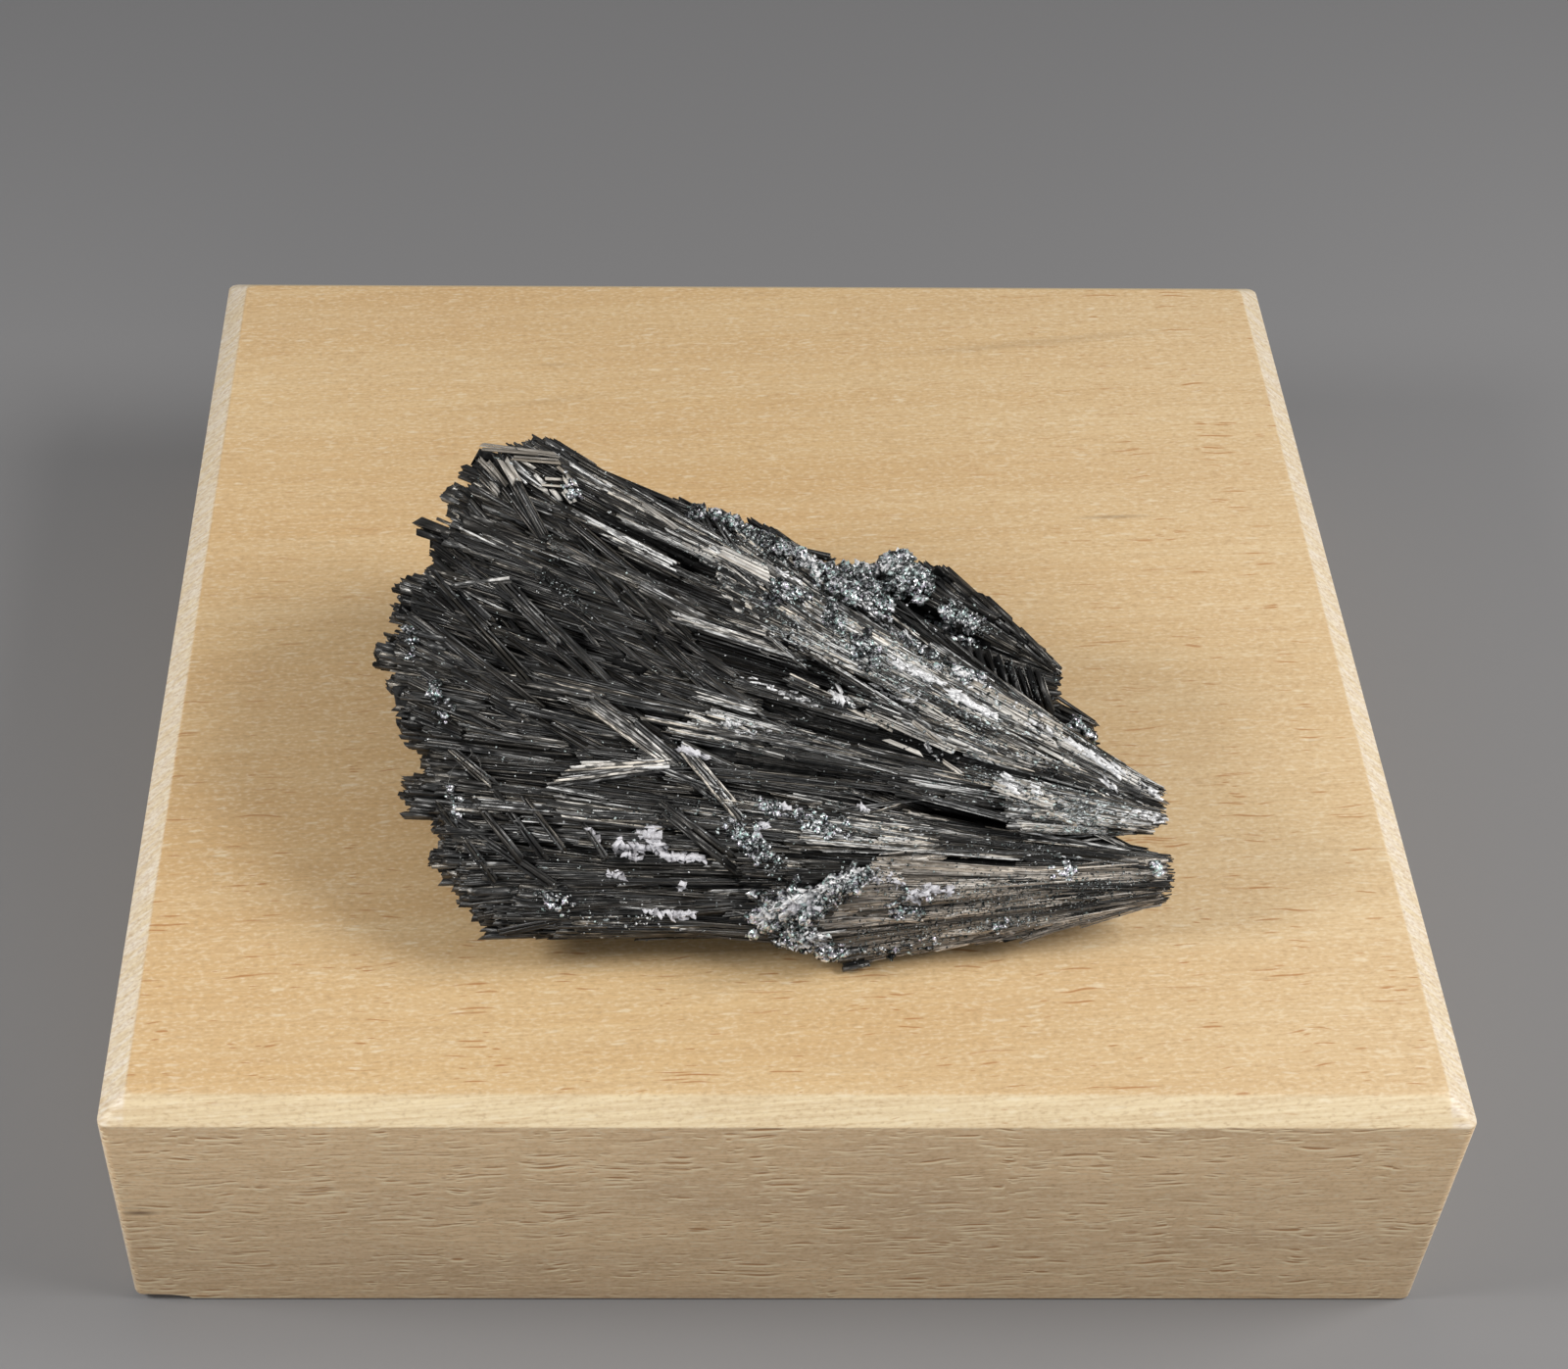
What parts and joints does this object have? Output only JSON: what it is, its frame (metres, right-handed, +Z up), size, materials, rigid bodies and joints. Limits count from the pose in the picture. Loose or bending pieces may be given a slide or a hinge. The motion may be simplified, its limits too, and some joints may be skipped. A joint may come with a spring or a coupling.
{
  "type": "mineral specimen on a display block",
  "caption": "Radiating spray of dark, metallic, lath-like mineral crystals that narrows to a forked tip and lies on a square wooden block with chamfered top edges.",
  "frame": {"origin": "middle of the display block's underside", "axes": "+X to the right along the block's front edge, +Y from its front to its back, +Z up"},
  "size_m": [0.0762, 0.0762, 0.0361],
  "materials": {
    "wood": "sanded pale hardwood, bare or matte oiled",
    "sulfosalt": "steel-grey metallic crystals, silvery and brownish where they catch the light"
  },
  "bodies": {
    "root": {"display_block": "wood", "zinkenite_cluster": "sulfosalt"}
  },
  "joints": []
}
